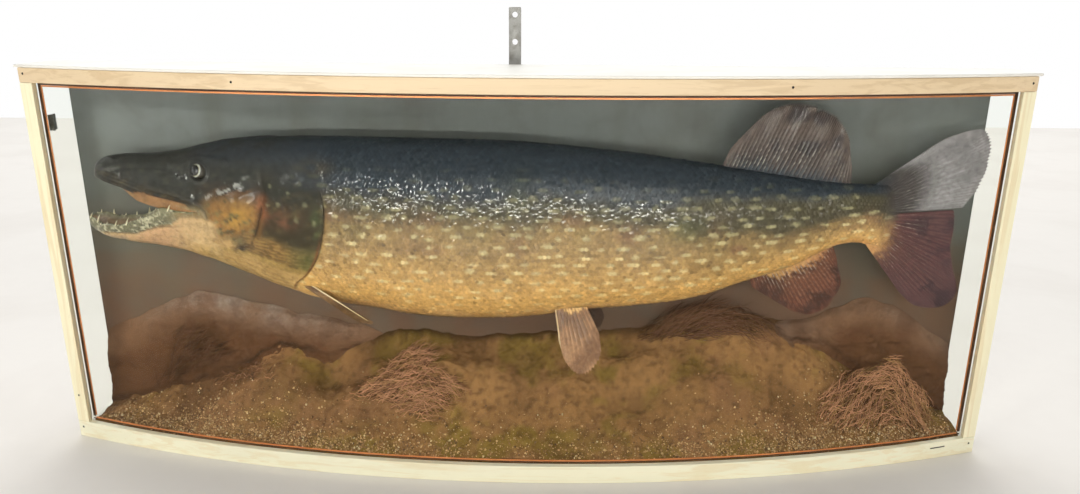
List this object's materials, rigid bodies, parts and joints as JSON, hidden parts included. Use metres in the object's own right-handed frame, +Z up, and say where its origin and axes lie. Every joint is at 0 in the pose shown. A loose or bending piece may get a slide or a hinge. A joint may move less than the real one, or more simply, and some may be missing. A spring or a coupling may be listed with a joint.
{
  "type": "mounted pike",
  "caption": "Preserved pike with parted jaws above painted groundwork, in a bow-fronted glass case with a pale wooden frame and a wall strap.",
  "frame": {"origin": "middle of the case's underside, halfway between its bowed front and the back of its strap", "axes": "+X from the pike's snout to its tail, +Y from the glass front to the backboard, +Z up"},
  "size_m": [1.26, 0.185, 0.586],
  "materials": {
    "ash_frame": "pale varnished ash",
    "white_paint": "white painted board",
    "glass": "clear pane",
    "painted_scene": "matt painted backdrop, grey blue over brown",
    "plain_board": "bare softwood",
    "steel": "dull galvanised",
    "groundwork": "painted papier mache strewn with gravel",
    "rock": "painted papier mache",
    "dried_weed": "dried plant",
    "back_skin": "varnished skin, dark",
    "flank_skin": "varnished scales, olive with pale spots",
    "jaw_skin": "varnished skin, cream",
    "mouth": "painted, satin",
    "fin": "varnished fin, red brown",
    "pale_fin": "varnished fin, pale brown",
    "eye": "glass eye with a pale ring"
  },
  "bodies": {
    "root": {"rail_bottom": "ash_frame", "rail_top": "ash_frame", "stile_left": "ash_frame", "stile_right": "ash_frame", "glass_front": "glass", "glass_left": "glass", "glass_right": "glass", "cleat_left": "white_paint", "cleat_right": "white_paint", "case_base": "white_paint", "case_lid": "white_paint", "backboard": "painted_scene", "batten_left": "plain_board", "batten_right": "plain_board", "hanging_strap": "steel", "glazing_clip": "steel", "groundwork": "groundwork", "rock_left": "rock", "rock_right": "rock", "weed_left": "dried_weed", "weed_middle": "dried_weed", "weed_small": "dried_weed", "weed_back": "dried_weed", "weed_right": "dried_weed", "mount_block_front": "plain_board", "mount_block_rear": "plain_board", "head": "back_skin", "lower_jaw": "jaw_skin", "tongue": "mouth", "throat": "jaw_skin", "gill_cover_left": "flank_skin", "gill_cover_right": "flank_skin", "eye_left": "eye", "eye_right": "eye", "trunk_front": "flank_skin", "trunk_middle": "flank_skin", "trunk_rear": "flank_skin", "tail_stalk": "flank_skin", "fin_dorsal": "fin", "fin_anal": "fin", "fin_tail_upper": "fin", "fin_tail_lower": "fin", "fin_pectoral_left": "pale_fin", "fin_pectoral_right": "pale_fin", "fin_pelvic_left": "pale_fin", "fin_pelvic_right": "pale_fin"}
  },
  "joints": []
}
